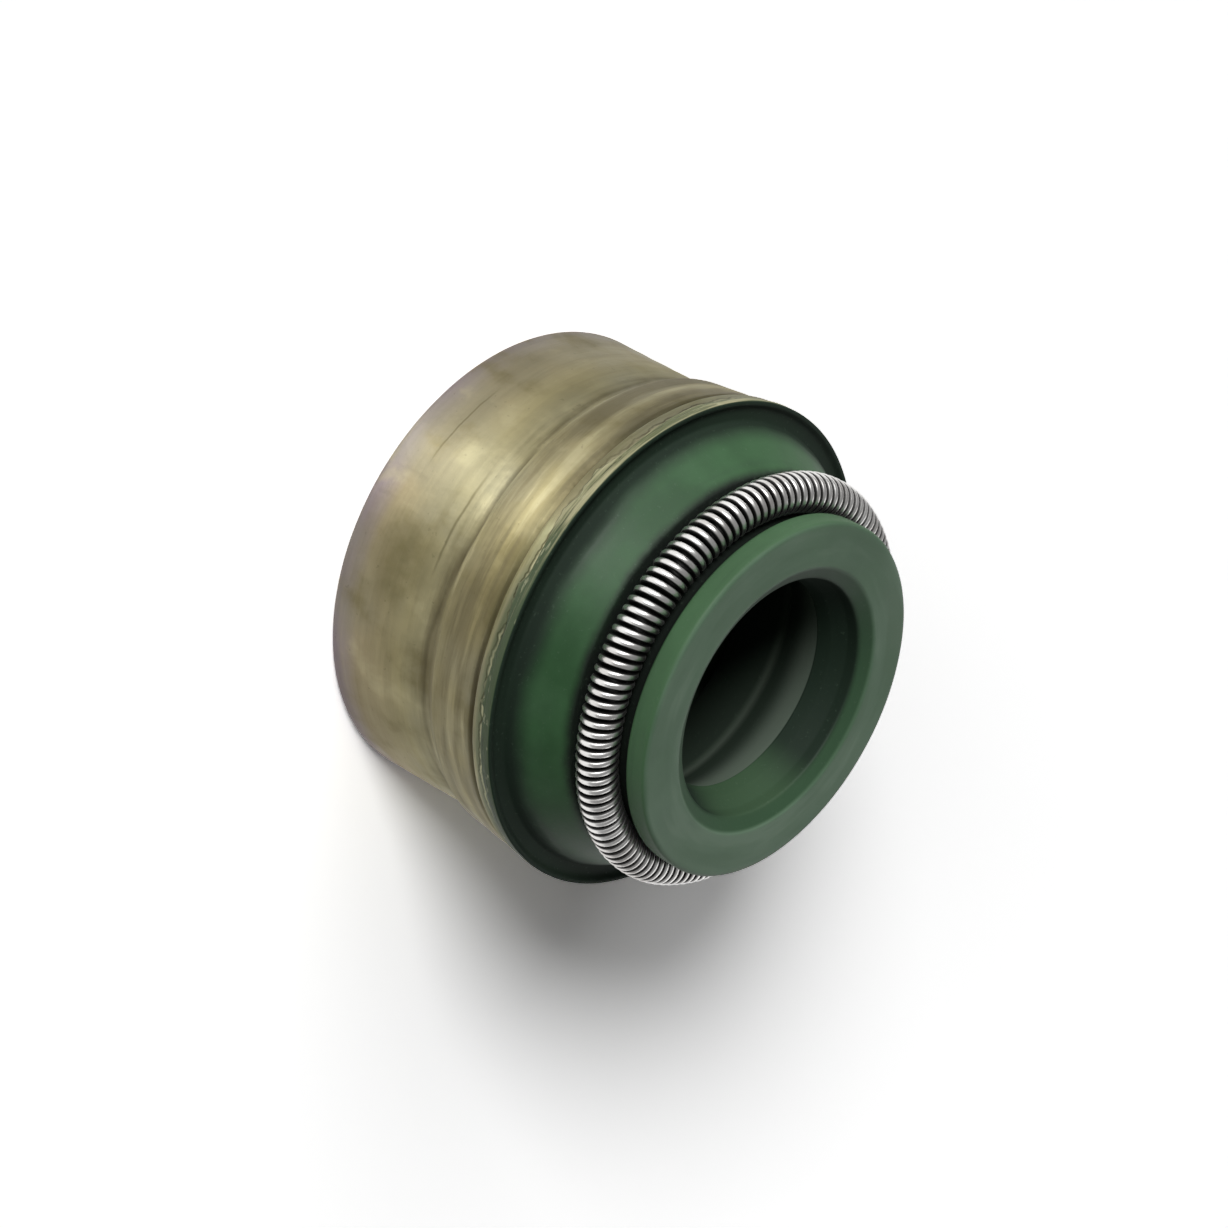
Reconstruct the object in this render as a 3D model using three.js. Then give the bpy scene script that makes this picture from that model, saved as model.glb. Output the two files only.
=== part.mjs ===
// A valve stem seal: a pressed steel case, a rubber body moulded onto it and a garter spring.
// Millimetres, +Z up. The seal stands on the open end of its skirt, and the origin is the centre
// of that rim. The valve stem runs along the Z axis, and the sealing lip is near the top.
import * as THREE from 'three';

// What the seal fits
const stemDiameter = 7.0;
const guideDiameter = 11.3;
const lipSqueeze = 0.48; // how much smaller than the stem the free lip is
const ribSqueeze = 0.4; // how much smaller than the guide the lining's ribs are

// Steel case, from the rim upwards
const sheetThickness = 0.6;
const skirtDiameter = 14.34;
const skirtTaper = 0.08; // the skirt narrows by this much on the radius
const skirtLength = 3.03;
const neckLength = 1.05;
const waistDepth = 0.2; // how far the waist lies inside the skirt
const stepLength = 0.42; // from the waist out to the band
const bandRise = 0.12; // how far the band stands outside the skirt
const bandLength = 1.6;
const bandFlare = 0.12;
const beadWidth = 0.26; // the fine groove behind the case's front lip
const beadDepth = 0.06;
const lipWidth = 0.26;
const lipRise = 0.1; // how far the case's front lip stands outside the flared band
const plateHoleDiameter = 10.4;
const rimRound = 0.27;
const bendRound = 0.3; // inside the bend between the band and the front plate
const bandRound = 0.15; // on the band's rear corner

// Rubber body, outside
const bondGap = 0.05; // between the rubber and the steel that it is bonded to
const flangeOverhang = 0.05;
const flangeThickness = 0.42;
const flangeRound = 0.12;
const shoulderWidth = 0.68;
const shoulderRise = 0.12;
const coneLength = 1.4;
const coneRootRound = 0.3;
const grooveDiameter = 10.2;
const grooveRound = 0.5;
const grooveLean = 0.17; // how far the groove's two sides lean apart
const coneTopHeight = 0.86; // how far the cone's top edge stands out of the groove
const coneTopGap = 0.24; // along the axis, from the cone's top edge to the coil
const headDiameter = 10.9;
const edgeRound = 0.08; // on the cone's top edge and the head's two edges
const headLength = 0.69;
const faceWidth = 1.34;
const mouthDepth = 0.28;
const mouthWidth = 0.47;
const throatDepth = 0.36;

// Rubber body, inside
const lipDepth = 1.46; // from the head's face down to the sealing edge
const lipFrontLength = 0.4;
const lipFrontRise = 0.12;
const lipBackLength = 2.2;
const chamberDiameter = 9.0;
const stopThickness = 0.5; // the rubber under the case's front plate, where the guide stops
const liningStart = 0.5; // how far the lining lies inside the rim
const leadInLength = 0.6;
const leadInWidth = 0.45;
const ribCount = 2;
const ribWidth = 0.8;

// Garter spring
const wireDiameter = 0.22;
const coilDiameter = 1.2;
const springTurns = 128;
const springGap = 0.05; // between the coil and the bottom of its groove
const springSetBack = 0.02; // from the sealing edge down to the middle of the coil

// How finely the round surfaces are divided
const turnSteps = 40;
const arcStep = Math.PI / 5;
const coilSteps = 8;
const wireSides = 4;

// Heights that several pieces share
const waistZ = skirtLength + neckLength;
const bandZ = waistZ + stepLength;
const beadZ = bandZ + bandLength;
const plateTopZ = beadZ + beadWidth + lipWidth;
const plateUnderZ = plateTopZ - sheetThickness;
const flangeTopZ = plateTopZ + bondGap + flangeThickness;
const coneRootZ = flangeTopZ + shoulderRise;
const coneTopZ = coneRootZ + coneLength;
const springZ = coneTopZ + coneTopGap + coilDiameter / 2;
const lipZ = springZ + springSetBack;
const faceZ = lipZ + lipDepth;

// Radii that several pieces share
const skirtRadius = skirtDiameter / 2;
const neckRadius = skirtRadius - skirtTaper;
const waistRadius = skirtRadius - waistDepth;
const bandRadius = skirtRadius + bandRise;
const flareRadius = bandRadius + bandFlare;
const caseLipRadius = flareRadius + lipRise;
const plateHoleRadius = plateHoleDiameter / 2;
const grooveRadius = grooveDiameter / 2;
const springRadius = grooveRadius + springGap + coilDiameter / 2;
const guideRadius = guideDiameter / 2;

// Rounds the corners of a closed outline. Each corner is [radius, height, fillet], and a fillet
// is shortened where the sides next to it leave no room for it.
function roundedOutline(corners) {
  const spots = corners.map(([radius, height]) => new THREE.Vector2(radius, height));
  const points = [];
  corners.forEach(([, , fillet = 0], i) => {
    const corner = spots[i];
    if (fillet === 0) {
      points.push(corner);
      return;
    }
    const before = spots.at(i - 1).clone().sub(corner);
    const after = spots[(i + 1) % spots.length].clone().sub(corner);
    const room = 0.48 * Math.min(before.length(), after.length());
    before.normalize();
    after.normalize();
    const halfAngle = Math.acos(before.dot(after)) / 2;
    const reach = Math.min(fillet / Math.tan(halfAngle), room);
    const start = corner.clone().addScaledVector(before, reach);
    const middle = before.clone().add(after).normalize();
    const centre = corner.clone().addScaledVector(middle, reach / Math.cos(halfAngle));
    const sweep = (Math.PI - 2 * halfAngle) * Math.sign(after.cross(before));
    const steps = Math.max(1, Math.round(Math.abs(sweep) / arcStep));
    for (let k = 0; k <= steps; k += 1) {
      points.push(start.clone().rotateAround(centre, (sweep * k) / steps));
    }
  });
  points.push(points[0].clone());
  return points;
}

// Turns a closed outline about the Z axis.
function revolve(corners) {
  return new THREE.LatheGeometry(roundedOutline(corners), turnSteps).rotateX(Math.PI / 2);
}

// The inner side of the sheet, from the edge of the hole in the front plate down to the rim,
// moved into the hollow by a gap.
function insideOfCase(gap) {
  return [
    [plateHoleRadius - gap, plateUnderZ - gap],
    [bandRadius - sheetThickness - gap, plateUnderZ - gap, bendRound],
    [bandRadius - sheetThickness - gap, bandZ],
    [waistRadius - sheetThickness - gap, waistZ],
    [neckRadius - sheetThickness - gap, skirtLength],
  ];
}

// The case is one sheet, drawn to a skirt, a waist and a band, with a plate turned in at its front.
function steelCase() {
  return revolve([
    [skirtRadius - sheetThickness, 0, rimRound],
    [skirtRadius, 0, rimRound],
    [neckRadius, skirtLength],
    [waistRadius, waistZ],
    [bandRadius, bandZ, bandRound],
    [flareRadius, beadZ],
    [flareRadius - beadDepth, beadZ + beadWidth / 2],
    [caseLipRadius, beadZ + beadWidth],
    [caseLipRadius, plateTopZ],
    [plateHoleRadius, plateTopZ],
    ...insideOfCase(0),
  ]);
}

// The ribs of the lining, which grip the valve guide, from the top one down.
function liningRibs(top, bottom) {
  const pitch = (top - bottom) / ribCount;
  const crest = guideRadius - ribSqueeze / 2;
  const ribs = [];
  for (let i = 0; i < ribCount; i += 1) {
    const middle = top - (i + 0.5) * pitch;
    ribs.push([guideRadius, middle + ribWidth / 2]);
    ribs.push([crest, middle + ribWidth / 6]);
    ribs.push([crest, middle - ribWidth / 6]);
    ribs.push([guideRadius, middle - ribWidth / 2]);
  }
  return ribs;
}

// The rubber body is one moulding: the lining inside the case, the neck through the hole in the
// case's front plate, the flange over the plate, the cone, the spring's groove and the head.
function rubberBody() {
  const lining = insideOfCase(bondGap);
  const flangeRadius = caseLipRadius + flangeOverhang;
  const lipRadius = (stemDiameter - lipSqueeze) / 2;
  const mouthRadius = headDiameter / 2 - faceWidth;
  const throatRadius = mouthRadius - mouthWidth;
  const chamberRadius = chamberDiameter / 2;
  const stopZ = plateUnderZ - bondGap - stopThickness;
  const liningRadius = skirtRadius - sheetThickness - bondGap;
  return revolve([
    [guideRadius + leadInWidth, liningStart],
    [liningRadius, liningStart],
    ...lining.reverse(),
    [plateHoleRadius - bondGap, plateTopZ + bondGap],
    [flangeRadius, plateTopZ + bondGap],
    [flangeRadius, flangeTopZ, flangeRound],
    [flangeRadius - shoulderWidth, coneRootZ, coneRootRound],
    [grooveRadius + coneTopHeight, coneTopZ, edgeRound],
    [grooveRadius, coneTopZ + grooveLean, grooveRound],
    [grooveRadius, faceZ - headLength - grooveLean, grooveRound],
    [headDiameter / 2, faceZ - headLength, edgeRound],
    [headDiameter / 2, faceZ, edgeRound],
    [mouthRadius, faceZ],
    [throatRadius, faceZ - mouthDepth],
    [throatRadius, faceZ - mouthDepth - throatDepth],
    [lipRadius + lipFrontRise, lipZ + lipFrontLength],
    [lipRadius, lipZ],
    [chamberRadius, lipZ - lipBackLength],
    [chamberRadius, stopZ],
    [guideRadius, stopZ],
    ...liningRibs(stopZ, liningStart + leadInLength),
    [guideRadius, liningStart + leadInLength],
  ]);
}

// The middle line of the spring's wire: a right-hand coil wound along a ring about the Z axis.
class CoiledRing extends THREE.Curve {
  // The direction from the coil's own axis to the wire.
  toWire(t) {
    const around = 2 * Math.PI * t;
    const turned = springTurns * around;
    const outward = Math.cos(turned);
    return new THREE.Vector3(outward * Math.cos(around), outward * Math.sin(around), -Math.sin(turned));
  }

  getPoint(t, target = new THREE.Vector3()) {
    const around = 2 * Math.PI * t;
    target.set(springRadius * Math.cos(around), springRadius * Math.sin(around), springZ);
    return target.addScaledVector(this.toWire(t), (coilDiameter - wireDiameter) / 2);
  }

  // Steps are even in the angle around the ring.
  getUtoTmapping(u) {
    return u;
  }

  computeFrenetFrames(segments) {
    const frames = { tangents: [], normals: [], binormals: [] };
    for (let i = 0; i <= segments; i += 1) {
      const tangent = this.getTangentAt(i / segments);
      const normal = this.toWire(i / segments);
      frames.tangents.push(tangent);
      frames.normals.push(normal);
      frames.binormals.push(tangent.clone().cross(normal).normalize());
    }
    return frames;
  }
}

// The spring is a closed ring of coil.
function garterSpring() {
  const steps = springTurns * coilSteps;
  return new THREE.TubeGeometry(new CoiledRing(), steps, wireDiameter / 2, wireSides, true);
}

function piece(name, geometry, color, roughness, metalness) {
  const mesh = new THREE.Mesh(geometry, new THREE.MeshStandardMaterial({ color, roughness, metalness }));
  mesh.name = name;
  return mesh;
}

const seal = new THREE.Group();
seal.name = 'valve_stem_seal';
seal.add(
  piece('steel_case', steelCase(), 0x9c9478, 0.45, 0.8),
  piece('rubber_body', rubberBody(), 0x3f6148, 0.55, 0),
  piece('garter_spring', garterSpring(), 0xc9c9c6, 0.25, 1),
);

export default seal;
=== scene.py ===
"""A valve stem seal standing on the rim of its skirt: a pressed and passivated steel case, the rubber
body moulded onto it, and the garter spring round its sealing lip. The seal's axis is the Z axis."""
import math
import bpy
import numpy as np
from mathutils import Matrix


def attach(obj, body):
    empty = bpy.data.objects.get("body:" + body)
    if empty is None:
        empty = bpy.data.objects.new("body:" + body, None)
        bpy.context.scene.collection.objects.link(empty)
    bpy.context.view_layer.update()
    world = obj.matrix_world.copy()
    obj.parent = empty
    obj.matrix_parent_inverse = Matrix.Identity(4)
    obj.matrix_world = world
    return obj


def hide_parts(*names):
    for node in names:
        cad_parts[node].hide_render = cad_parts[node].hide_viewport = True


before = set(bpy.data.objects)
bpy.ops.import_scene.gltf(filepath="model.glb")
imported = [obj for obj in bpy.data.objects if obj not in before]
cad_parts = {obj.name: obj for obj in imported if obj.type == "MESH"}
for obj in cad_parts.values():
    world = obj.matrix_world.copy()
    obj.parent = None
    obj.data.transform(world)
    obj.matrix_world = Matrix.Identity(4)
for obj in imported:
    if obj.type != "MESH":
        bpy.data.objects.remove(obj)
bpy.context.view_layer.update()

MM = 0.001  # the sizes below are in millimetres, and the scene is in metres

# Steel case: radii and heights, from the rim upwards
SHEET = 0.6
SKIRT_RADIUS, NECK_RADIUS, WAIST_RADIUS = 7.17, 7.09, 6.97
BAND_RADIUS, FLARE_RADIUS, LIP_RADIUS = 7.29, 7.41, 7.51
NECK_Z, WAIST_Z, BAND_Z, BEAD_Z = 3.03, 4.08, 4.50, 6.10
BEAD_WIDTH, BEAD_DEPTH = 0.26, 0.06
PLATE_HOLE, PLATE_UNDER_Z, PLATE_TOP_Z = 5.20, 6.02, 6.62
BOND = 0.05  # between the rubber and the steel
SEAM_Z = 6.79  # where the case's lip ends and the rubber's rim begins, seen from outside
LIP_TOP_Z, RIM_UNDER_Z = SEAM_Z - 0.02, SEAM_Z + 0.03
LIP_EDGE, LIP_SLOPE = 0.14, 0.30  # from the lip's outside to the end of its flat edge, and of its slope

# Rubber body
FLANGE_RADIUS, FLANGE_TOP_Z = 7.56, 7.09
FLANGE_INSET = 0.01  # keeps the swells of the flange's edge inside its radius
RIDGE_WIDTH, RIDGE_HEIGHT = 0.13, 0.14  # the flange's raised edge
CONE_ROOT_RADIUS, CONE_ROOT_Z = 6.88, 7.21
CONE_TOP_RADIUS, CONE_TOP_Z = 5.96, 8.61
GROOVE_RADIUS, GROOVE_LEAN = 5.10, 0.17
HEAD_RADIUS, HEAD_Z, FACE_Z = 5.45, 10.24, 10.93
MOUTH_RADIUS, MOUTH_DEPTH, THROAT_RADIUS, THROAT_DEPTH = 4.11, 0.28, 3.64, 0.36
SEAL_RADIUS, SEAL_Z, SEAL_FRONT_RISE, SEAL_FRONT_LENGTH = 3.26, 9.47, 0.12, 0.4
CHAMBER_RADIUS, CHAMBER_Z, STOP_Z = 4.50, 7.27, 5.47
GUIDE_RADIUS, RIB_RADIUS, LINING_Z = 5.65, 5.45, 0.5
RIBS, RIB_HALF, CREST_HALF = 2, 0.4, 0.13
LEAD_IN_WIDTH, LEAD_IN_LENGTH = 0.45, 0.6

# The film of rubber over the case's lip
FILM_THICKNESS, FILM_STANDOFF, FILM_OVERLAP = 0.022, 0.003, 0.09
# Where the film is torn: degrees from the -Y side towards +X, half width in degrees, length
FILM_TONGUES = (
    (-24, 2.6, 0.16), (-20, 1.2, 0.10), (-13, 4.2, 0.14), (4.8, 1.4, 0.15), (8.1, 2.8, 0.10),
    (27, 1.5, 0.14), (31, 0.7, 0.18), (-52, 6.5, 0.07), (74, 2.4, 0.13), (131, 1.1, 0.17),
    (-96, 1.9, 0.14), (-151, 0.9, 0.18), (178, 2.8, 0.12),
)

# Garter spring
SPRING_RADIUS, SPRING_Z, COIL_RADIUS, WIRE_RADIUS, TURNS = 5.75, 9.45, 0.49, 0.11, 128

# How finely the surfaces are divided
ARC_STEP = math.pi / 8
CASE_SEGMENTS, RUBBER_SEGMENTS = 480, 360  # round the axis
CASE_STEP, RUBBER_STEP = 0.25, 0.6  # along the outline
FILM_SEGMENTS, FILM_SIDES = 1440, 10
TURN_STEPS, WIRE_SIDES = 32, 12  # steps along each turn of the coil, sides round its wire


# Surfaces


def unit(vectors):
    """The vectors, each divided by its length."""
    return vectors / np.linalg.norm(vectors, axis=-1, keepdims=True)


def rise(value, start, width):
    """0 up to the start, and rising evenly to 1 over the width after it."""
    return np.clip((value - start) / width, 0, 1)


def bump_at(value, middle, width):
    """A smooth hump: exp(-((value - middle) / width) squared)."""
    return np.exp(-(((value - middle) / width) ** 2))


def turn_apart(angle, degrees):
    """The difference of an angle from so many degrees, between minus and plus half a turn."""
    return (angle - math.radians(degrees) + math.pi) % (2 * math.pi) - math.pi


def ragged_wave(angle, low, high, seed):
    """A ragged wave between minus and plus one: sine waves of every whole frequency from low to high.

    Their phases are drawn at random, and their heights fall as one over the frequency.
    """
    draws = np.random.default_rng(seed)
    frequency = np.arange(low, high)
    phase = draws.uniform(0, 2 * math.pi, len(frequency))
    share = draws.uniform(0.3, 1.0, len(frequency)) / frequency
    wave = (np.sin(angle * frequency + phase) * share).sum(axis=-1, keepdims=True)
    return wave / np.abs(wave).max()


def rounded_outline(corners, step):
    """A closed outline with rounded corners and divided sides, from (radius, height, fillet) corners.

    A fillet is the arc that touches both of a corner's sides at a reach of fillet / tan(half the
    corner's angle) from the corner, or 0.48 of the shorter side where that is less. Its centre lies at
    reach / cos(half the angle), on the line that halves the angle. The arc is divided into two or more
    even runs that turn by ARC_STEP at most. The side after a corner is divided into even runs no longer
    than the step, or than a step of its own, which a corner may give as a fourth number.
    """
    table = np.array([(*corner, step)[:4] for corner in corners])
    corner, fillet, run = table[:, :2], table[:, 2], table[:, 3]
    onward = np.roll(corner, -1, axis=0) - corner
    length = np.linalg.norm(onward, axis=1)
    after, before = unit(onward), unit(-np.roll(onward, 1, axis=0))
    half = np.arccos(np.clip((before * after).sum(axis=1), -1, 1)) / 2
    reach = np.minimum(fillet / np.tan(half), 0.48 * np.minimum(length, np.roll(length, 1)))
    centre = corner + unit(before + after) * (reach / np.cos(half))[:, None]
    start = corner + before * reach[:, None]
    turn = np.sign(after[:, 0] * before[:, 1] - after[:, 1] * before[:, 0]) * (math.pi - 2 * half)
    points = []
    for i in range(len(corner)):
        arc_runs = max(2, math.ceil(abs(turn[i]) / ARC_STEP))
        angle = turn[i] * np.linspace(0, 1, arc_runs + 1)[:, None]
        arm = start[i] - centre[i]
        across = np.array([-arm[1], arm[0]])
        arc = centre[i] + arm * np.cos(angle) + across * np.sin(angle)
        side = start[(i + 1) % len(corner)] - arc[-1]
        runs = max(1, math.ceil(np.linalg.norm(side) / run[i]))
        points += [arc, arc[-1] + side * (np.arange(1, runs) / runs)[:, None]]
    return np.vstack(points)


def turned(outline, segments, relief):
    """An outline carried round the Z axis: at the angle a, (r, z) goes to (r cos a, r sin a, z).

    The relief is a function of the angle and the outline's r and z, and gives how far a point moves
    along each of the two.
    """
    angle = np.linspace(0, 2 * math.pi, segments, endpoint=False)[:, None]
    radius, height = outline[None, :, 0], outline[None, :, 1]
    outwards, upwards = relief(angle, radius, height)
    grown = radius + outwards
    return np.stack([grown * np.cos(angle), grown * np.sin(angle), height + upwards], axis=-1)


def grid_faces(points):
    """The faces of a grid of points that closes on itself both ways: a quad between every four."""
    rows, columns = points.shape[:2]
    row, column = np.meshgrid(np.arange(rows), np.arange(columns), indexing="ij")
    next_row, next_column = (row + 1) % rows, (column + 1) % columns
    corners = [row * columns + column, next_row * columns + column,
               next_row * columns + next_column, row * columns + next_column]
    return np.stack(corners, axis=-1).reshape(-1, 4)


def placed(name, data):
    """A new object in the scene."""
    thing = bpy.data.objects.new(name, data)
    bpy.context.scene.collection.objects.link(thing)
    return thing


def piece(name, replaced, grids, finish, painted_shade=None):
    """A smooth-shaded mesh of one or more closed grids, which stands in for one of the seal's solids.

    Painted shade, where it is given, is how dark each point is painted as shade, and the finish reads it
    as an attribute.
    """
    points = [grid.reshape(-1, 3) for grid in grids]
    starts = np.cumsum([0] + [len(p) for p in points[:-1]])
    faces = [grid_faces(grid) + start for grid, start in zip(grids, starts)]
    mesh = bpy.data.meshes.new(name)
    mesh.from_pydata((np.vstack(points) * MM).tolist(), [], np.vstack(faces).tolist())
    mesh.polygons.foreach_set("use_smooth", np.ones(len(mesh.polygons), dtype=bool))
    if painted_shade is not None:
        mesh.attributes.new("painted_shade", "FLOAT", "POINT").data.foreach_set("value", painted_shade.ravel())
    mesh.materials.append(finish)
    mesh.update()
    thing = placed(name, mesh)
    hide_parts(replaced)
    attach(thing, "root")
    return thing


# Shapes of the pieces


def inside_of_case(gap):
    """The sheet's inner side, from the plate's hole down to the neck, moved into the hollow by a gap."""
    return [
        (PLATE_HOLE - gap, PLATE_UNDER_Z - gap, 0.05),
        (BAND_RADIUS - SHEET - gap, PLATE_UNDER_Z - gap, 0.3),
        (BAND_RADIUS - SHEET - gap, BAND_Z, 0.3),
        (WAIST_RADIUS - SHEET - gap, WAIST_Z, 0.3),
        (NECK_RADIUS - SHEET - gap, NECK_Z, 1.0),
    ]


def seam_wander(angle, radius, height):
    """How far the seam between the case's lip and the rubber wanders along the axis.

    It is a sum of sine waves of the angle. A point takes all of it at the seam and none of it from 0.2
    above or below, or inside the lip.
    """
    slow = 0.02 * np.sin(3 * angle + 1.2) + 0.012 * np.sin(17 * angle + np.sin(4 * angle))
    fine = np.sin(53 * angle + 2 * np.sin(7 * angle)) + 0.7 * np.sin(89 * angle + 1.5 * np.sin(11 * angle))
    share = rise(radius, LIP_RADIUS - 0.26, 0.12) * rise(0.2 - np.abs(height - SEAM_Z), 0, 0.2)
    return (slow + 0.008 * fine) * share


def uneven(angle):
    """A slow uneven wave of the angle, between about minus and plus one."""
    return np.sin(2 * angle + 0.9) * np.cos(3 * angle - 0.4)


def pressed_lines(angle, height):
    """How much a point lies in the fine lines that pressing left: the waist's, two faint ones, the lip's.

    Each line is a hump across a height that wanders with the angle, as a sum of sine waves does. The
    waist's is deepest on one side, where a slow hump of the angle lifts it to the waist itself.
    """
    near = bump_at(turn_apart(angle, -99), 0, math.radians(32))
    waist_z = 3.82 + 0.29 * near + 0.04 * np.sin(7 * angle) + 0.02 * np.sin(19 * angle)
    upper_z = 3.68 + 0.09 * np.sin(2 * angle + 2.1) + 0.04 * np.sin(9 * angle + 0.7)
    band_z = 5.04 + 0.07 * np.sin(5 * angle + 0.8) + 0.03 * np.sin(13 * angle)
    lip_z = 6.24 + 0.05 * np.sin(3 * angle + 2.0) + 0.015 * np.sin(23 * angle)
    drift = 0.5 + 0.5 * uneven(angle)
    waist = 0.6 * bump_at(height, waist_z, 0.055) + 0.4 * bump_at(height, waist_z, 0.13)
    upper = 0.5 * (1 - drift) * bump_at(height, upper_z, 0.07)
    band = 0.35 * (0.3 + 0.7 * np.sin(3 * angle) ** 2) * bump_at(height, band_z, 0.09)
    lip = (0.45 + 0.55 * drift) * bump_at(height, lip_z, 0.07)
    return (0.3 + 0.7 * near) * waist, upper + band, lip


def case_relief(angle, radius, height):
    """What pressing leaves on the outside of the case, as sums of humps and sine waves.

    There are soft rings on the skirt, the fine lines, a raised ring on the band, long shallow dents
    along the axis, and a slightly oval skirt.
    """
    outside = rise(radius, WAIST_RADIUS - 0.2, 0.1) * (1 - rise(height, SEAM_Z - 0.2, 0.1))
    waist, faint, lip = pressed_lines(angle, height)
    lines = -(0.055 * waist + 0.02 * faint + 0.05 * lip)
    ridge_z = 5.5 + 0.06 * np.sin(4 * angle + 1.0)
    ridge = (0.018 + 0.014 * uneven(angle)) * bump_at(height, ridge_z, 0.24)
    rings = np.sin(2 * math.pi * height / 0.93 + 1.3 * np.sin(2 * angle))
    rings = 0.005 * bump_at(height, 1.9, 1.4) * rings
    dents = np.sin(9 * angle + 0.5 * height) * np.sin(4 * angle + 1.2 * height)
    dents = 0.006 * (dents + 0.5 * np.sin(23 * angle - 0.8 * height)) * bump_at(height, 2.2, 2.4)
    oval = 0.008 * np.cos(2 * angle + 0.7) * rise(NECK_Z - height, 0, NECK_Z)
    return outside * (lines + ridge + rings + dents) + oval, seam_wander(angle, radius, height)


def steel_case():
    """One sheet, drawn to a skirt, a waist and a band, with a plate turned in at its front, and its
    painted shade.

    The painted shade darkens the fine lines on the outside, where shade falls in them.
    """
    outline = rounded_outline([
        (SKIRT_RADIUS - SHEET, 0, 0.27),
        (SKIRT_RADIUS, 0, 0.27, 0.1),
        (NECK_RADIUS, NECK_Z, 1.2, 0.04),
        (WAIST_RADIUS, WAIST_Z, 0.35, 0.04),
        (BAND_RADIUS, BAND_Z, 0.2, 0.05),
        (FLARE_RADIUS, BEAD_Z, 0.06, 0.04),
        (FLARE_RADIUS - BEAD_DEPTH, BEAD_Z + BEAD_WIDTH / 2, 0.06, 0.04),
        (LIP_RADIUS - 0.02, BEAD_Z + BEAD_WIDTH, 0.12, 0.05),
        (LIP_RADIUS, LIP_TOP_Z, 0.04, 0.05),
        (LIP_RADIUS - LIP_EDGE, LIP_TOP_Z, 0.04),
        (LIP_RADIUS - LIP_SLOPE, PLATE_TOP_Z, 0.05),
        (PLATE_HOLE, PLATE_TOP_Z, 0.05),
        *inside_of_case(0),
    ], CASE_STEP)
    points = turned(outline, CASE_SEGMENTS, case_relief)
    angle = np.arctan2(points[..., 1], points[..., 0])
    waist, faint, lip = pressed_lines(angle, outline[None, :, 1])
    outside = outline[None, :, 0] > WAIST_RADIUS - 0.1
    # painted shade: the pressed lines are darkened as shade, the waist's line most
    return points, outside * (waist + 0.5 * faint + 0.8 * lip)


def lining_ribs():
    """The ribs of the lining that grip the guide, evenly along it, from the top one down."""
    pitch = (STOP_Z - LINING_Z - LEAD_IN_LENGTH) / RIBS
    ribs = []
    for i in range(RIBS):
        middle = STOP_Z - (i + 0.5) * pitch
        ribs += [
            (GUIDE_RADIUS, middle + RIB_HALF, 0.1), (RIB_RADIUS, middle + CREST_HALF, 0.12),
            (RIB_RADIUS, middle - CREST_HALF, 0.12), (GUIDE_RADIUS, middle - RIB_HALF, 0.1),
        ]
    return ribs


def rubber_relief(angle, radius, height):
    """The moulded surface is not quite true: slow swells of a few thousandths, strongest on the cone."""
    outside = rise(radius, GROOVE_RADIUS - 0.1, 0.3) * rise(height, PLATE_TOP_Z, 0.3)
    cone = bump_at(height, 7.9, 0.6)
    swell = np.sin(5 * angle + 2.0 * height) * np.sin(3 * angle - 1.1) + 0.6 * np.sin(11 * angle + 0.5)
    return outside * (0.002 + 0.005 * cone) * swell, seam_wander(angle, radius, height)


def rubber_body():
    """One moulding: lining, neck through the plate's hole, flange, cone, groove of the spring and head."""
    outline = rounded_outline([
        (GUIDE_RADIUS + LEAD_IN_WIDTH, LINING_Z, 0.1),
        (SKIRT_RADIUS - SHEET - BOND, LINING_Z, 0.06),
        *reversed(inside_of_case(BOND)),
        (PLATE_HOLE - BOND, PLATE_TOP_Z + BOND, 0.03),
        (LIP_RADIUS - LIP_SLOPE, PLATE_TOP_Z + BOND, 0.05),
        (LIP_RADIUS - LIP_EDGE, RIM_UNDER_Z, 0.04),
        (FLANGE_RADIUS - FLANGE_INSET, RIM_UNDER_Z, 0.04),
        (FLANGE_RADIUS - FLANGE_INSET, FLANGE_TOP_Z, 0.05, 0.05),
        (FLANGE_RADIUS - RIDGE_WIDTH, FLANGE_TOP_Z, 0.06, 0.05),
        (FLANGE_RADIUS - 2 * RIDGE_WIDTH, FLANGE_TOP_Z - RIDGE_HEIGHT, 0.1, 0.1),
        (CONE_ROOT_RADIUS + 0.06, FLANGE_TOP_Z - 0.08, 0.1, 0.1),
        (CONE_ROOT_RADIUS - 0.04, CONE_ROOT_Z + 0.06, 0.15, 0.1),
        (CONE_TOP_RADIUS, CONE_TOP_Z, 0.1, 0.12),
        (GROOVE_RADIUS, CONE_TOP_Z + GROOVE_LEAN, 0.5, 0.12),
        (GROOVE_RADIUS, HEAD_Z - GROOVE_LEAN, 0.5, 0.12),
        (HEAD_RADIUS, HEAD_Z, 0.1, 0.1),
        (HEAD_RADIUS, FACE_Z, 0.13, 0.1),
        (MOUTH_RADIUS, FACE_Z, 0.12, 0.1),
        (THROAT_RADIUS, FACE_Z - MOUTH_DEPTH, 0.12),
        (THROAT_RADIUS, FACE_Z - MOUTH_DEPTH - THROAT_DEPTH, 0.15),
        (SEAL_RADIUS + SEAL_FRONT_RISE, SEAL_Z + SEAL_FRONT_LENGTH, 0.1),
        (SEAL_RADIUS, SEAL_Z, 0.03),
        (CHAMBER_RADIUS, CHAMBER_Z, 0.3),
        (CHAMBER_RADIUS, STOP_Z, 0.12),
        (GUIDE_RADIUS, STOP_Z, 0.1),
        *lining_ribs(),
        (GUIDE_RADIUS, LINING_Z + LEAD_IN_LENGTH, 0.15),
    ], RUBBER_STEP)
    return turned(outline, RUBBER_SEGMENTS, rubber_relief)


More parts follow.
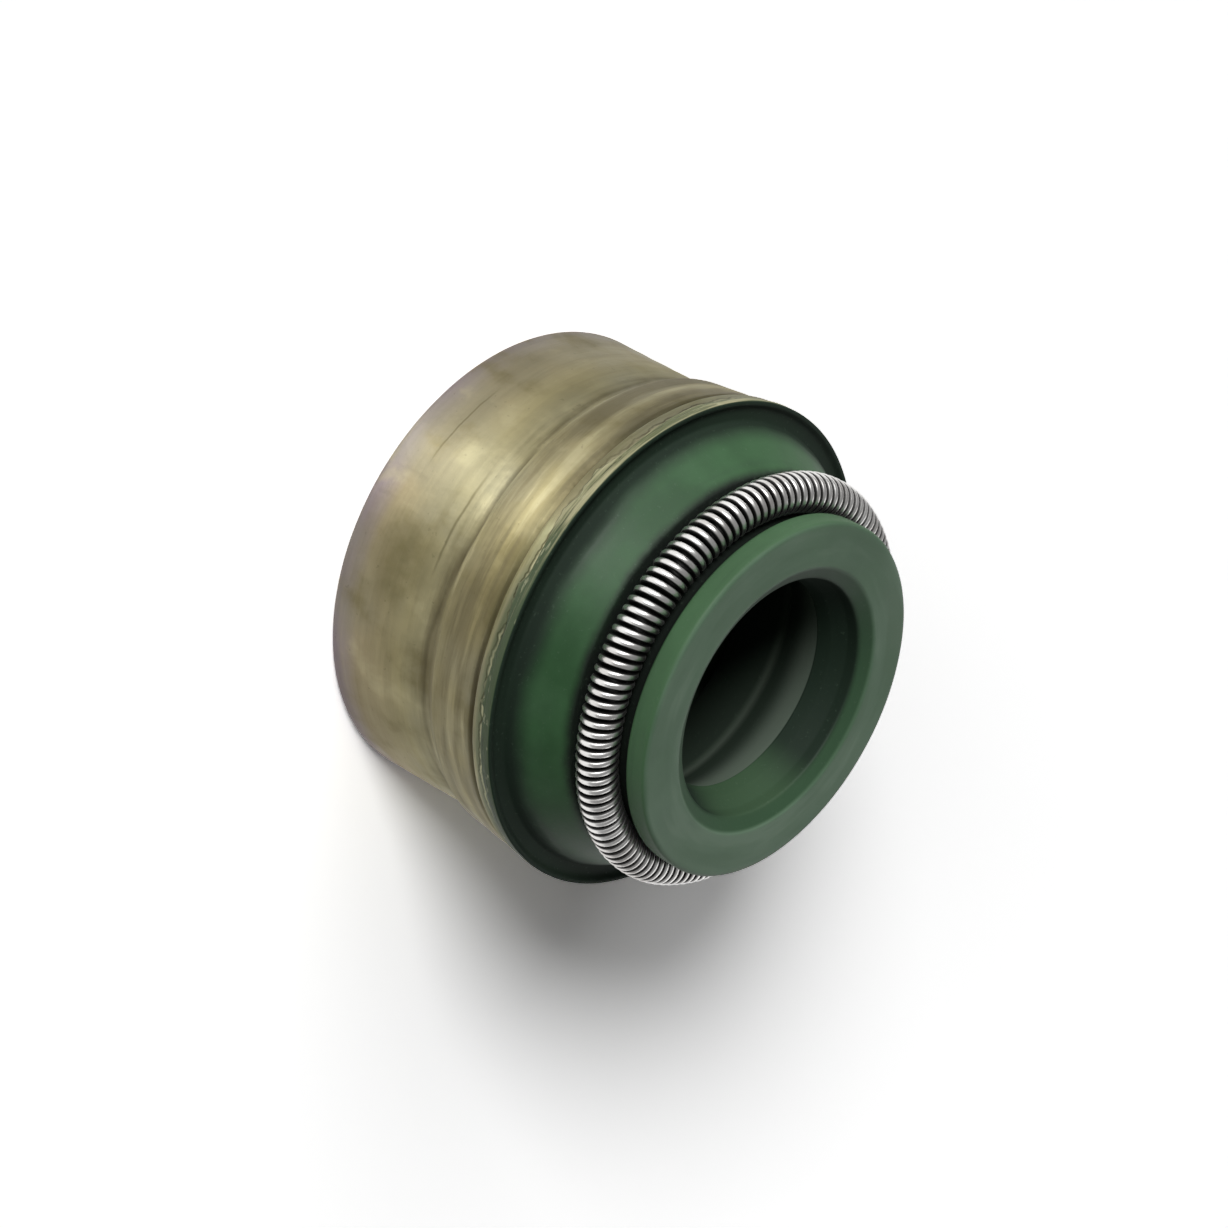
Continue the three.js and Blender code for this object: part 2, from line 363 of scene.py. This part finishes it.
def film_depth(angle):
    """How far the film reaches down past the seam: a slow and a fine ragged wave, and torn tongues.

    Each tongue is a narrow hump of the angle, and the fine wave is stronger on the tongues.
    """
    tongues = np.zeros_like(angle)
    for degrees, width, length in FILM_TONGUES:
        tongues += length * bump_at(turn_apart(angle, degrees - 90), 0, math.radians(width))
    slow = 0.05 + 0.04 * ragged_wave(angle, 6, 60, 3)
    fine = (0.012 + 0.25 * tongues) * ragged_wave(angle, 50, 260, 5)
    return np.maximum(slow + tongues + fine, 0)


def rubber_film():
    """The film of rubber that the mould squeezed out over the case's front lip, with a ragged edge.

    Its section is a flat loop against the lip: at the angle b round the loop, the height falls from the
    overlap above the seam to the film's depth below it as half of 1 + cos b grows, and the film stands
    off the lip by its ragged thickness times half of 1 + sin b, and thins towards its lower edge.
    """
    angle = np.linspace(0, 2 * math.pi, FILM_SEGMENTS, endpoint=False)[:, None]
    loop = np.linspace(0, -2 * math.pi, FILM_SIDES, endpoint=False)[None, :]
    thickness = FILM_THICKNESS * (1 + 0.5 * ragged_wave(angle, 20, 200, 8))
    down, out = 0.5 + 0.5 * np.cos(loop), 0.5 + 0.5 * np.sin(loop)
    radius = LIP_RADIUS + FILM_STANDOFF + thickness * out * (1 - 0.5 * down)
    height = SEAM_Z + FILM_OVERLAP - (film_depth(angle) + FILM_OVERLAP) * down
    return np.stack([radius * np.cos(angle), radius * np.sin(angle), height], axis=-1)


def garter_spring():
    """A right-hand coil wound along a ring about the Z axis, closed on itself, and its painted shade.

    At the angle a around the ring the wire's centre stands off the ring by the coil's radius, turned by
    TURNS * a from outwards towards -Z. The wire's circle lies in the plane across the wire. The turns
    are a little uneven: their angle and the coil's radius each drift by slow waves. The painted shade is
    0 where a point of the wire faces straight out of the coil, and grows to 1 towards the next turn and
    inside, where shade falls.
    """
    angle = np.linspace(0, 2 * math.pi, TURNS * TURN_STEPS, endpoint=False)[:, None]
    drift = 0.35 * np.sin(5 * angle) + 0.12 * np.sin(13 * angle + 1.0) + 0.05 * np.sin(31 * angle)
    wound = TURNS * angle + drift
    coil = COIL_RADIUS + 0.004 * np.sin(17 * angle)
    out = np.stack([np.cos(angle), np.sin(angle), np.zeros_like(angle)], axis=-1)
    up = np.array([0.0, 0.0, 1.0])
    arm = np.cos(wound)[..., None] * out - np.sin(wound)[..., None] * up
    centre = SPRING_RADIUS * out + SPRING_Z * up + coil[..., None] * arm
    along = unit(np.roll(centre, -1, axis=0) - np.roll(centre, 1, axis=0))
    side = unit(np.cross(along, arm))
    around = np.linspace(0, 2 * math.pi, WIRE_SIDES, endpoint=False)[None, :, None]
    points = centre + WIRE_RADIUS * (np.cos(around) * arm + np.sin(around) * side)
    # painted shade: 0 facing out of the coil, 1 towards the next turn and inside
    painted_shade = np.clip(1 - np.cos(around[..., 0]), 0, 1)
    return points, np.broadcast_to(painted_shade, points.shape[:2])


# Finishes


def srgb(red, green, blue):
    """An sRGB colour of 0 to 255 as the linear colour that a socket holds."""
    part = np.array([red, green, blue]) / 255
    linear = np.where(part <= 0.04045, part / 12.92, ((part + 0.055) / 1.055) ** 2.4)
    return (*linear.tolist(), 1.0)


class Finish:
    """A material and its nodes, with short ways to add them. Places and sizes are in millimetres."""

    def __init__(self, name, **sockets):
        self.material = bpy.data.materials.new(name)
        self.material.use_nodes = True
        self.tree = self.material.node_tree
        self.shader = self.tree.nodes["Principled BSDF"]
        for socket, value in sockets.items():
            self.shader.inputs[socket.replace("_", " ")].default_value = value
        metres = self.add("ShaderNodeTexCoord").outputs["Object"]
        self.place = self.vector("SCALE", {0: metres, "Scale": 1 / MM})

    def add(self, kind, inputs=None, **settings):
        """A node of a kind, with its settings, and its inputs linked or set."""
        node = self.tree.nodes.new(kind)
        for setting, value in settings.items():
            setattr(node, setting, value)
        for socket, value in (inputs or {}).items():
            if isinstance(value, bpy.types.NodeSocket):
                self.tree.links.new(value, node.inputs[socket])
            else:
                node.inputs[socket].default_value = value
        return node

    def vector(self, operation, inputs, result="Vector"):
        """A Vector Math node's result."""
        return self.add("ShaderNodeVectorMath", inputs, operation=operation).outputs[result]

    def number(self, operation, first, second=0.0):
        """A Math node's result."""
        return self.add("ShaderNodeMath", {0: first, 1: second}, operation=operation).outputs[0]

    def plus(self, first, second):
        """The sum of two numbers."""
        return self.number("ADD", first, second)

    def times(self, first, second):
        """The product of two numbers: where both are shares, how much a point has of both."""
        return self.number("MULTIPLY", first, second)

    def larger(self, first, second):
        """The larger of two numbers."""
        return self.number("MAXIMUM", first, second)

    def swing(self, noise, size):
        """Noise of 0 to 1 as a swing to both sides of 0: (noise - 0.5) * size."""
        return self.times(self.number("SUBTRACT", noise, 0.5), size)

    def ramp(self, value, low, high, to_low=0.0, to_high=1.0):
        """The value carried smoothly from one range to another, and held at its ends."""
        inputs = {"Value": value, "From Min": low, "From Max": high, "To Min": to_low, "To Max": to_high}
        return self.add("ShaderNodeMapRange", inputs, interpolation_type="SMOOTHSTEP").outputs["Result"]

    def hump(self, value, middle, width):
        """1 where the value is at the middle, falling smoothly to 0 at a width from it."""
        off = self.number("ABSOLUTE", self.number("SUBTRACT", value, middle))
        return self.ramp(off, 0.0, width, 1.0, 0.0)

    def height(self):
        """The height above the rim of the skirt."""
        return self.add("ShaderNodeSeparateXYZ", {0: self.place}).outputs[2]

    def across_axis(self):
        """The place on the piece with its height taken out."""
        return self.vector("MULTIPLY", {0: self.place, 1: (1.0, 1.0, 0.0)})

    def radius(self):
        """The distance from the Z axis."""
        return self.vector("LENGTH", {0: self.across_axis()}, "Value")

    def facing(self, degrees):
        """1 on the side at an angle of degrees from the -Y side towards +X, -1 across the axis from it."""
        angle = math.radians(degrees)
        outward = self.vector("NORMALIZE", {0: self.across_axis()})
        inputs = {0: outward, 1: (math.sin(angle), -math.cos(angle), 0.0)}
        return self.vector("DOT_PRODUCT", inputs, "Value")

    def spot(self, degrees, half_width, height, middle, half_height):
        """1 at an angle round the axis and a height, falling smoothly to 0 at half widths from them."""
        across = self.ramp(self.facing(degrees), math.cos(math.radians(half_width)), 1.0)
        return self.times(across, self.hump(height, middle, half_height))

    def noise(self, across, along, detail, roughness, offset=(0.0, 0.0, 0.0)):
        """Noise with so many waves to the millimetre across the axis and along it."""
        inputs = {"Vector": self.place, "Scale": (across, across, along), "Location": offset}
        stretched = self.add("ShaderNodeMapping", inputs).outputs[0]
        inputs = {"Vector": stretched, "Scale": 1.0, "Detail": detail, "Roughness": roughness}
        return self.add("ShaderNodeTexNoise", inputs).outputs["Fac"]

    def ring_noise(self, radius, across, around):
        """Noise in rings about the axis, with so many waves to the millimetre across them."""
        inputs = {
            0: self.times(radius, across),
            1: self.times(self.facing(0), around),
            2: self.times(self.facing(90), around),
        }
        ringed = self.add("ShaderNodeCombineXYZ", inputs).outputs[0]
        inputs = {"Vector": ringed, "Scale": 1.0, "Detail": 3.0}
        return self.add("ShaderNodeTexNoise", inputs).outputs["Fac"]

    def painted_shade(self):
        """How much a point of the piece is painted dark as shade."""
        return self.add("ShaderNodeAttribute", attribute_name="painted_shade").outputs["Fac"]

    def mix(self, amount, first, second):
        """Two colours mixed by an amount. A plain colour is given as sRGB, from 0 to 255."""
        inputs = {0: amount}
        for socket, colour in ((6, first), (7, second)):
            inputs[socket] = srgb(*colour) if isinstance(colour, tuple) else colour
        return self.add("ShaderNodeMix", inputs, data_type="RGBA").outputs[2]

    def layered(self, colour, *layers):
        """A colour with other colours laid over it in turn, each as (amount, colour)."""
        for amount, over in layers:
            colour = self.mix(amount, colour, over)
        return colour

    def bands(self, value, stops):
        """Colours that follow one another along a value from 0 up. Each stop is (value, sRGB colour)."""
        last = stops[-1][0]
        node = self.add("ShaderNodeValToRGB", {"Fac": self.number("DIVIDE", value, last)})
        elements = node.color_ramp.elements
        while len(elements) < len(stops):
            elements.new(0.5)
        for element, (stop, colour) in zip(elements, stops):
            element.position, element.color = stop / last, srgb(*colour)
        return node.outputs["Color"]

    def relief(self, height, distance, strength, below=None):
        """A bump of so many millimetres from a height of 0 to 1, on top of another bump."""
        inputs = {"Height": height, "Distance": distance * MM, "Strength": strength}
        if below is not None:
            inputs["Normal"] = below
        return self.add("ShaderNodeBump", inputs).outputs[0]

    def paint(self, **sockets):
        """The material, once the results are linked to the shader's inputs."""
        for socket, value in sockets.items():
            self.tree.links.new(value, self.shader.inputs[socket.replace("_", " ")])
        return self.material


# The case's colours by height: violet at the rim and khaki, with painted shade as a darker olive at the
# waist and the lip
STEEL_COLOURS = (
    (0.0, (108, 98, 104)), (0.25, (142, 130, 134)), (0.6, (154, 143, 134)), (1.1, (160, 148, 118)),
    (2.9, (166, 157, 118)), (3.5, (160, 153, 118)), (3.95, (142, 135, 102)), (4.15, (132, 125, 92)),
    (4.45, (142, 134, 100)), (5.0, (150, 141, 106)), (5.5, (168, 158, 116)), (5.9, (148, 139, 102)),
    (6.15, (124, 117, 84)), (6.35, (128, 125, 90)), (6.55, (150, 148, 114)), (6.8, (160, 159, 128)),
)


def case_marks(finish, height, patches, wander):
    """Layers of marks: a brown stain, a pale fleck, and two fine dark scratches that wander a little."""
    stain = finish.times(finish.spot(15, 13, height, 2.2, 1.6), finish.ramp(patches, 0.3, 0.55))
    fleck = finish.times(finish.spot(-15.5, 4, height, 2.42, 0.6), finish.ramp(patches, 0.4, 0.5))
    drawn = finish.plus(height, finish.times(wander, 0.3))
    upper = finish.spot(-1, 16, drawn, 3.35, 0.07)
    lower = finish.spot(-21, 14, drawn, 1.45, 0.05)
    return (
        (finish.times(stain, 0.5), (108, 101, 60)),
        (finish.times(fleck, 0.25), (214, 206, 164)),
        (finish.times(finish.larger(upper, lower), 0.6), (88, 80, 52)),
    )


def lip_marks(finish, height, patches):
    """Layers on the case's lip: darker on one side, a pale ridge as a painted highlight, and a dark crease
    along the seam as painted shade.
    """
    lip = finish.ramp(height, BEAD_Z + 0.3, BEAD_Z + 0.5)
    dark_side = finish.times(lip, finish.ramp(finish.facing(-50), 0.8, 0.45, 0.0, 0.8))
    edge_wave = finish.noise(1.1, 0.3, 3.0, 0.6, (0.9, 0.0, 0.0))
    edge = finish.plus(height, finish.swing(edge_wave, 0.6))
    # a painted highlight on the ridge, and painted shade in the crease
    ridge = finish.hump(edge, SEAM_Z - 0.05, 0.06)
    crease = finish.hump(edge, SEAM_Z - 0.14, 0.05)
    return (
        (dark_side, (94, 104, 78)),
        (finish.times(ridge, finish.ramp(patches, 0.35, 0.6, 0.2, 0.7)), (198, 194, 158)),
        (finish.times(crease, finish.ramp(patches, 0.35, 0.6, 0.3, 0.8)), (64, 62, 40)),
    )


def passivated_steel():
    """Zinc-plated and yellow-passivated steel: khaki and cloudy, with fine drawing lines and a violet rim.

    Streaks run round the case, strongest from the waist upwards, and painted shade darkens the pressed
    lines.
    """
    finish = Finish("passivated_steel", Metallic=0.85, Anisotropic=0.9, Anisotropic_Rotation=0.25)
    height = finish.height()
    clouds = finish.noise(0.23, 0.26, 3.0, 0.5)
    patches = finish.noise(0.52, 0.42, 4.0, 0.6, (3.1, 0.4, 1.7))
    streaks = finish.noise(0.17, 1.7, 5.0, 0.58, (0.0, 4.0, 0.3))
    lines = finish.noise(0.3, 15.0, 3.0, 0.5, (0.0, 2.0, 0.0))
    specks = finish.noise(5.2, 5.2, 2.0, 0.5)
    wander = finish.swing(patches, 0.7)
    streaked = finish.ramp(height, NECK_Z + 0.07, WAIST_Z + 0.12, 0.25, 1.0)
    # painted shade in the pressed lines, drawn dark brown
    crease_shade = finish.times(finish.painted_shade(), finish.ramp(patches, 0.3, 0.6, 0.4, 0.75))
    colour = finish.layered(
        finish.bands(finish.plus(height, wander), STEEL_COLOURS),
        (finish.ramp(clouds, 0.38, 0.62, 0.5, 0.0), (132, 130, 112)),
        (finish.ramp(patches, 0.52, 0.72, 0.0, 0.55), (126, 116, 76)),
        (finish.ramp(patches, 0.42, 0.28, 0.0, 0.4), (182, 174, 138)),
        (finish.times(streaked, finish.ramp(streaks, 0.46, 0.62, 0.0, 0.65)), (112, 104, 78)),
        (finish.times(streaked, finish.ramp(streaks, 0.46, 0.32, 0.0, 0.55)), (192, 184, 148)),
        *case_marks(finish, height, patches, wander),
        *lip_marks(finish, height, patches),
        (crease_shade, (70, 62, 42)),
        (finish.ramp(specks, 0.68, 0.76, 0.0, 0.25), (92, 86, 62)),
    )
    roughness = finish.ramp(finish.plus(clouds, patches), 0.7, 1.3, 0.42, 0.58)
    bump = finish.relief(streaks, 0.05, 0.7)
    bump = finish.relief(lines, 0.0025, 0.8, bump)
    bump = finish.relief(patches, 0.06, 0.6, bump)
    tangent = finish.add("ShaderNodeTangent", direction_type="RADIAL", axis="Z").outputs[0]
    return finish.paint(Base_Color=colour, Roughness=roughness, Normal=bump, Tangent=tangent)


def head_layers(finish, radius, height, bloom):
    """Layers that make the head greyer than the cone, and its face greyer still, with rings on it."""
    head = finish.ramp(height, HEAD_Z - 0.09, HEAD_Z + 0.11)
    face = finish.ramp(height, FACE_Z - 0.08, FACE_Z - 0.01)
    rings = finish.ring_noise(radius, 1.3, 1.1)
    return (
        (finish.times(head, 0.5), (70, 98, 70)),
        (finish.times(face, finish.ramp(bloom, 0.35, 0.65, 0.75, 1.0)), (81, 104, 84)),
        (finish.times(face, finish.ramp(rings, 0.5, 0.68, 0.0, 0.55)), (68, 92, 70)),
        (finish.times(face, finish.ramp(rings, 0.5, 0.34, 0.0, 0.5)), (98, 119, 100)),
    )


def rim_colour(finish, height, strands):
    """The film and the rim next to the steel, with pale nicks as painted highlights and a dark fissure as
    painted shade.

    They are thin on one side of the seal and at the film's lower edge, and the steel's khaki shows
    through them there.
    """
    near = finish.plus(finish.facing(-62), finish.swing(strands, 1.6))
    lower_edge = finish.ramp(height, SEAM_Z - 0.03, SEAM_Z - 0.24, 0.0, 0.8)
    thin = finish.larger(finish.ramp(near, 0.3, 0.75), lower_edge)
    khaki = finish.mix(finish.ramp(strands, 0.4, 0.6), (90, 95, 66), (156, 152, 120))
    # painted highlights on the nicks, and painted shade in the fissure
    torn = finish.noise(1.5, 5.0, 3.0, 0.6, (0.2, 0.0, 1.1))
    fissure = finish.hump(finish.plus(height, finish.times(strands, 0.12)), SEAM_Z + 0.1, 0.04)
    return finish.layered(
        (70, 82, 60),
        (thin, khaki),
        (finish.ramp(torn, 0.6, 0.7, 0.0, 0.5), (178, 178, 146)),
        (finish.times(fissure, finish.ramp(torn, 0.55, 0.4, 0.0, 0.8)), (40, 42, 30)),
    )


def green_rubber():
    """Dark green moulded rubber: satin, with painted shade as a dark shoulder at the cone's foot and as
    near black in the spring's groove and over the cone's top edge.

    The throat is painted dark as shade, and lighter and greener on one side as painted light. The wall
    behind the sealing lip is painted grey as light, darker deeper down as painted shade, with a faint
    pale line, a painted highlight, where the chamber's taper ends.
    """
    finish = Finish("green_rubber", Metallic=0.0, Specular_IOR_Level=0.18)
    radius, height = finish.radius(), finish.height()
    clouds = finish.noise(0.3, 0.38, 4.0, 0.55)
    bloom = finish.noise(0.62, 0.46, 4.0, 0.6, (1.3, 2.1, 0.2))
    grain = finish.noise(9.0, 9.0, 2.0, 0.6)
    swirl = finish.noise(0.26, 3.8, 3.0, 0.5, (0.7, 0.1, 0.0))
    strands = finish.noise(0.3, 5.2, 4.0, 0.6, (0.4, 5.2, 0.0))

    rim = finish.times(finish.ramp(radius, FLANGE_RADIUS - 0.13, FLANGE_RADIUS - 0.09),
                       finish.ramp(height, FLANGE_TOP_Z - 0.02, FLANGE_TOP_Z - 0.06))
    # painted shade: the shoulder at the cone's foot and the cone's lower part
    foot = finish.ramp(finish.plus(height, finish.times(clouds, 0.4)),
                       CONE_ROOT_Z + 0.19, CONE_ROOT_Z + 0.79, 1.0, 0.0)
    shoulder = finish.times(finish.times(foot, finish.number("SUBTRACT", 1.0, rim)),
                            finish.ramp(radius, CONE_TOP_RADIUS + 0.24, CONE_TOP_RADIUS + 0.44))
    # painted shade: near black in the spring's groove and over the cone's top edge
    shade_by_spring = finish.ramp(finish.plus(height, finish.times(bloom, 0.3)), CONE_TOP_Z - 0.11, CONE_TOP_Z + 0.19)
    groove = finish.times(finish.times(shade_by_spring, finish.ramp(height, HEAD_Z + 0.04, HEAD_Z - 0.04)),
                          finish.ramp(radius, GROOVE_RADIUS - 0.3, GROOVE_RADIUS - 0.1))
    # painted shade: the mouth's bevel darkened
    bevel = finish.times(finish.ramp(radius, MOUTH_RADIUS + 0.09, MOUTH_RADIUS - 0.03),
                         finish.ramp(height, FACE_Z - 0.01, FACE_Z - 0.08))
    # the throat: painted shade, with painted light on one side
    inside = finish.times(finish.ramp(radius, THROAT_RADIUS + 0.21, THROAT_RADIUS + 0.06),
                          finish.ramp(height, FACE_Z - 0.18, FACE_Z - 0.33))
    # the wall behind the lip: painted light, with painted shade deeper down
    behind_lip = finish.times(finish.ramp(height, SEAL_Z - 0.01, SEAL_Z - 0.07),
                              finish.ramp(radius, CHAMBER_RADIUS + 0.1, CHAMBER_RADIUS))

    # painted shade in the throat, lighter and greener on one side as painted light
    throat = finish.mix(finish.ramp(finish.facing(125), 0.75, 1.0), (19, 31, 23), (50, 72, 50))
    # painted light on the wall, darker deeper down as painted shade, and a pale line as a painted
    # highlight
    wall = finish.mix(finish.ramp(height, CHAMBER_Z + 0.53, SEAL_Z - 0.47), (46, 55, 48), (98, 110, 98))
    wall = finish.mix(finish.times(finish.hump(height, CHAMBER_Z, 0.3), 0.5), wall, (104, 114, 102))
    colour = finish.layered(
        finish.mix(finish.ramp(clouds, 0.35, 0.65), (40, 69, 42), (53, 86, 55)),
        (finish.ramp(bloom, 0.5, 0.72, 0.0, 0.25), (62, 88, 64)),
        *head_layers(finish, radius, height, bloom),
        (finish.ramp(swirl, 0.5, 0.7, 0.0, 0.2), (44, 66, 48)),
        # painted shade on the shoulder
        (finish.times(shoulder, 0.9), (17, 26, 21)),
        (rim, rim_colour(finish, height, strands)),
        # painted shade in the spring's groove
        (finish.times(groove, 0.95), (9, 11, 11)),
        # painted shade on the mouth's bevel
        (finish.times(bevel, 0.75), (44, 66, 48)),
        # painted shade in the throat, with painted light on one side
        (finish.times(inside, 0.92), throat),
        # painted light on the wall behind the lip, and painted shade deeper down
        (finish.times(behind_lip, 0.9), wall),
        (finish.ramp(grain, 0.62, 0.75, 0.0, 0.12), (96, 116, 98)),
    )

    satin = finish.ramp(finish.plus(clouds, finish.times(bloom, 0.5)), 0.5, 1.0, 0.42, 0.55)
    dull = finish.larger(finish.larger(shoulder, groove), finish.larger(inside, behind_lip))
    roughness = finish.larger(satin, finish.times(dull, 0.75))
    bump = finish.relief(grain, 0.0025, 0.7)
    bump = finish.relief(swirl, 0.01, 0.6, bump)
    bump = finish.relief(finish.times(strands, rim), 0.08, 0.8, bump)
    return finish.paint(Base_Color=colour, Roughness=roughness, Normal=bump)


def spring_wire():
    """Bright drawn wire, painted black as shade between the turns and on the coil's inner side."""
    finish = Finish("spring_wire", Metallic=1.0)
    oil = finish.noise(0.9, 0.9, 3.0, 0.5)
    draw = finish.noise(16.0, 16.0, 2.0, 0.5)
    # painted shade: near black between the turns, where shade falls
    between_turns_shade = finish.ramp(finish.plus(finish.painted_shade(), finish.swing(oil, 0.2)), 0.16, 0.42)
    colour = finish.layered(
        (236, 235, 233),
        (finish.ramp(oil, 0.4, 0.7), (214, 211, 208)),
        (finish.times(between_turns_shade, 0.96), (14, 13, 13)),
    )
    roughness = finish.ramp(between_turns_shade, 0.0, 1.0, 0.3, 0.55)
    bump = finish.relief(draw, 0.0006, 0.3)
    return finish.paint(Base_Color=colour, Roughness=roughness, Normal=bump)


# The seal

sheet, sheet_shade = steel_case()
case = piece("pressed_case", "steel_case", [sheet], passivated_steel(), sheet_shade)
body = piece("moulded_body", "rubber_body", [rubber_body(), rubber_film()], green_rubber())
coil, coil_shade = garter_spring()
spring = piece("wound_spring", "garter_spring", [coil], spring_wire(), coil_shade)


# Floor, light and camera

FLOOR_HALF = 1.5  # metres
FLOOR_LIGHTING, FLOOR_SEEN = 0.35, 2.19  # the floor's grey in light that it throws on, and as it is seen
AMBIENT = 0.035  # the strength of the even light
MIRRORED_LOW, MIRRORED_HIGH = 0.35, 0.25  # the same in reflections, level with the floor and overhead

# The camera stands off the origin along the frame's right, down and viewing directions. The seal's axis
# leans from the line of sight, and its picture is turned from the frame's right downwards.
CAMERA_RIGHT, CAMERA_DOWN, CAMERA_AHEAD = 3.136, 1.804, -90.373
AXIS_TURN, AXIS_LEAN = 28.87, 54.28
SENSOR, LENS = 36.0, 87.95


def where_seen(tree):
    """1 for the camera's rays and for reflections, and 0 for the rays that light other things."""
    rays = tree.nodes.new("ShaderNodeLightPath").outputs
    seen = rays["Is Camera Ray"]
    for other in ("Is Glossy Ray", "Is Transmission Ray"):
        either = tree.nodes.new("ShaderNodeMath")
        either.operation = "MAXIMUM"
        tree.links.new(seen, either.inputs[0])
        tree.links.new(rays[other], either.inputs[1])
        seen = either.outputs[0]
    return seen


def lay_floor():
    """A white floor at the height of the skirt's rim."""
    mesh = bpy.data.meshes.new("floor")
    corners = FLOOR_HALF * np.array([(-1, -1, 0), (1, -1, 0), (1, 1, 0), (-1, 1, 0)])
    mesh.from_pydata(corners.tolist(), [], [(0, 1, 2, 3)])
    material = bpy.data.materials.new("white_floor")
    material.use_nodes = True
    tree = material.node_tree
    tree.nodes.remove(tree.nodes["Principled BSDF"])
    matt = tree.nodes.new("ShaderNodeBsdfDiffuse")
    shade = tree.nodes.new("ShaderNodeMix")
    shade.data_type = "RGBA"
    for socket, grey in ((6, FLOOR_LIGHTING), (7, FLOOR_SEEN)):
        shade.inputs[socket].default_value = (grey, grey, grey, 1.0)
    tree.links.new(where_seen(tree), shade.inputs[0])
    tree.links.new(shade.outputs[2], matt.inputs["Color"])
    tree.links.new(matt.outputs[0], tree.nodes["Material Output"].inputs[0])
    mesh.materials.append(material)
    floor = placed("floor", mesh)


def set_world():
    """Even light from all round, with white behind the floor.

    Reflections see it brighter, and a little less so towards the top.
    """
    world = bpy.data.worlds.new("studio")
    world.use_nodes = True
    tree = world.node_tree
    even = tree.nodes["Background"]
    even.inputs["Color"].default_value = (1.0, 1.0, 1.0, 1.0)
    rays = tree.nodes.new("ShaderNodeLightPath").outputs
    parts = tree.nodes.new("ShaderNodeSeparateXYZ")
    tree.links.new(tree.nodes.new("ShaderNodeTexCoord").outputs["Generated"], parts.inputs[0])
    mirrored = tree.nodes.new("ShaderNodeMapRange")
    mirrored.inputs["To Min"].default_value = MIRRORED_LOW
    mirrored.inputs["To Max"].default_value = MIRRORED_HIGH
    tree.links.new(parts.outputs[2], mirrored.inputs["Value"])
    glossy = tree.nodes.new("ShaderNodeMix")
    glossy.inputs[2].default_value = AMBIENT
    tree.links.new(rays["Is Glossy Ray"], glossy.inputs[0])
    tree.links.new(mirrored.outputs["Result"], glossy.inputs[3])
    seen = tree.nodes.new("ShaderNodeMix")
    seen.inputs[3].default_value = 1.0
    tree.links.new(rays["Is Camera Ray"], seen.inputs[0])
    tree.links.new(glossy.outputs[0], seen.inputs[2])
    tree.links.new(seen.outputs[0], even.inputs["Strength"])
    bpy.context.scene.world = world


def sun(name, azimuth, elevation, strength, angle, lit=()):
    """A distant soft lamp, from an azimuth of degrees from the -Y side towards +X, and an elevation.

    It lights everything, or else only the pieces that it is given.
    """
    lamp = bpy.data.lights.new(name, "SUN")
    lamp.energy, lamp.angle = strength, math.radians(angle)
    thing = placed(name, lamp)
    thing.rotation_euler = (math.radians(90 - elevation), 0, math.radians(azimuth))
    if lit:
        thing.light_linking.receiver_collection = bpy.data.collections.new(name)
    for receiver in lit:
        thing.light_linking.receiver_collection.objects.link(receiver)


def set_camera():
    """The camera, turned so that the seal's axis leans and lies in the frame at its two angles.

    The line of sight is (0, sin lean, -cos lean). Across it, the axis is seen to run along
    (0, cos lean, sin lean). The frame's right and down are this direction and X, turned by the turn.
    """
    turn, lean = math.radians(AXIS_TURN), math.radians(AXIS_LEAN)
    ahead = np.array([0.0, math.sin(lean), -math.cos(lean)])
    axis_seen = np.array([0.0, math.cos(lean), math.sin(lean)])
    sideways = np.array([1.0, 0.0, 0.0])
    right = math.cos(turn) * axis_seen - math.sin(turn) * sideways
    down = math.sin(turn) * axis_seen + math.cos(turn) * sideways
    place = CAMERA_RIGHT * right + CAMERA_DOWN * down + CAMERA_AHEAD * ahead
    lens = bpy.data.cameras.new("camera")
    lens.sensor_width, lens.lens = SENSOR, LENS
    lens.clip_start, lens.clip_end = 0.001, 20.0
    camera = placed("camera", lens)
    axes = np.column_stack([right, -down, -ahead, place * MM])
    camera.matrix_world = Matrix(axes.tolist() + [[0, 0, 0, 1]])
    bpy.context.scene.camera = camera


lay_floor()
set_world()
sun("key", -23, 25, 2.2, 20)
sun("front", -4, 16, 0.6, 26)
sun("side", -48, 27, 0.6, 32)
sun("left", -74, 15, 1.4, 50, [body])
sun("back", 165, 18, 0.8, 60, [case, body, spring])
set_camera()
bpy.context.scene.view_settings.view_transform = "Standard"
